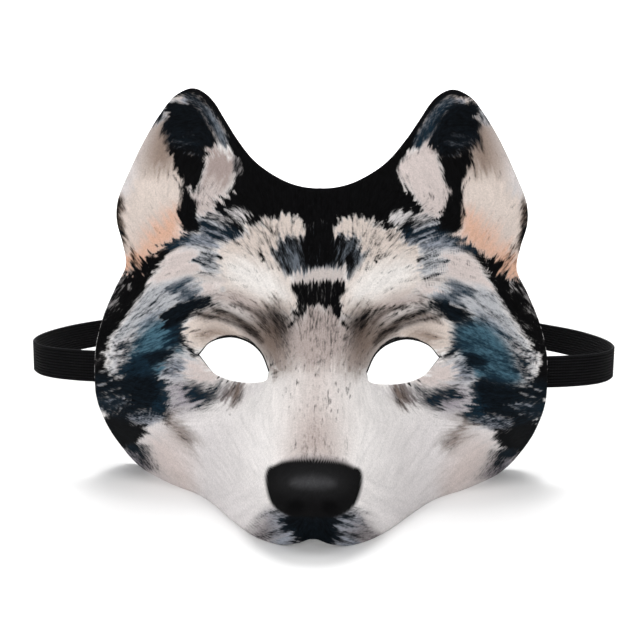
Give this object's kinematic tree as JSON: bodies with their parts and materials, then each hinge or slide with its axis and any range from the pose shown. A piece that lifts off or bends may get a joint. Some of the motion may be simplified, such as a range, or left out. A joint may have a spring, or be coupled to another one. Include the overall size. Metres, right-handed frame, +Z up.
{
  "type": "foam husky mask",
  "caption": "Husky face mask of pressed foam with a printed fur cloth face, a black cloth back and a black ribbed elastic head strap.",
  "frame": {"origin": "on the ground, at the middle of the bottom of the whole object's box", "axes": "+X to the viewer's right of the face, +Z up, the face looks along -Y and the strap runs round at +Y"},
  "size_m": [0.294, 0.2254, 0.1802],
  "materials": {
    "printed_foam": "matte printed knit on foam",
    "black_lining": "matte brushed cloth",
    "black_elastic": "ribbed woven elastic"
  },
  "bodies": {
    "root": {"mask_shell": "printed_foam", "back_lining": "black_lining", "elastic_strap": "black_elastic"}
  },
  "joints": []
}
